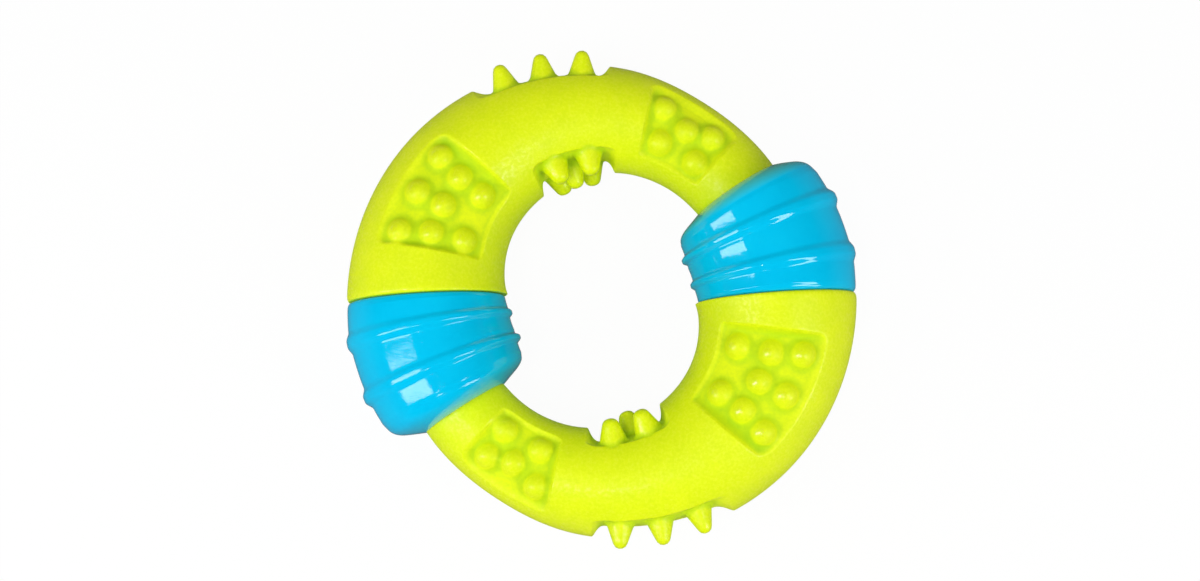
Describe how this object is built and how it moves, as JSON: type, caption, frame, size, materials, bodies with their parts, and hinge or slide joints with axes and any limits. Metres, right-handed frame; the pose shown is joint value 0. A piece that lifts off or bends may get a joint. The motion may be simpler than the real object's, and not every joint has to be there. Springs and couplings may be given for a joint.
{
  "type": "foam dog ring",
  "caption": "Moulded foam rubber chew and tug ring for dogs, tapering round its two halves, with nubbed pockets, beds of soft spikes and glossy ribbed rubber sleeves.",
  "frame": {"origin": "on the surface that the ring rests on, under the centre of the ring", "axes": "+Z square to the ring, up from the surface that it lies on; +X across the ring between its two sleeves' wide ends, the longest extent; the ring repeats itself after half a turn about Z"},
  "size_m": [0.149, 0.144, 0.0488],
  "materials": {
    "foam": "lime green foamed rubber with a satin moulded skin",
    "sleeve_rubber": "cyan blue solid rubber, high gloss"
  },
  "bodies": {
    "root": {"foam_ring": "foam", "sleeve_right": "sleeve_rubber", "sleeve_left": "sleeve_rubber"}
  },
  "joints": []
}
